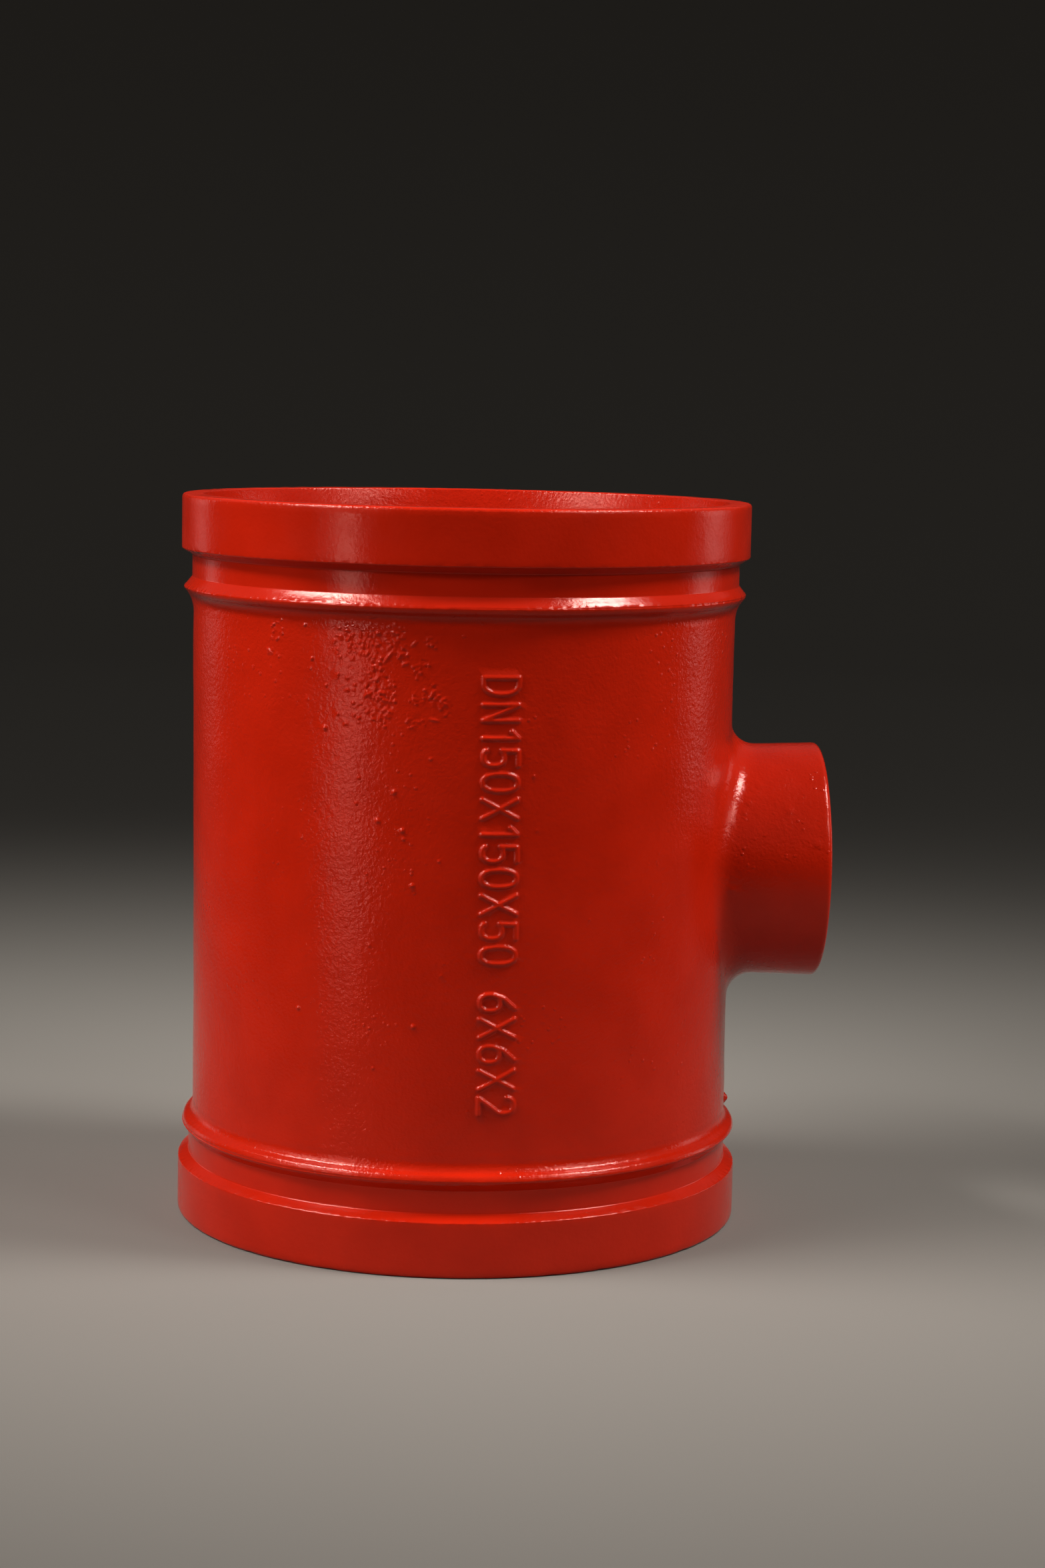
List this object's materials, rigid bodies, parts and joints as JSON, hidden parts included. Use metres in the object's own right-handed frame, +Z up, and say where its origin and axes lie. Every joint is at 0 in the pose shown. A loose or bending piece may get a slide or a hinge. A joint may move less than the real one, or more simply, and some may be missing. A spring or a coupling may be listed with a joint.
{
  "type": "grooved reducing tee",
  "caption": "Cast pipe tee with a grooved, beaded end at each end of its run and a smaller threaded outlet at the middle of one side.",
  "frame": {"origin": "centre of the lower run end's face", "axes": "+Z up along the run, +X along the side outlet, away from the run"},
  "size_m": [0.1875, 0.165, 0.21],
  "materials": {
    "red_enamel": "glossy red enamel over as-cast ductile iron"
  },
  "bodies": {
    "root": {"tee_body": "red_enamel"}
  },
  "joints": []
}
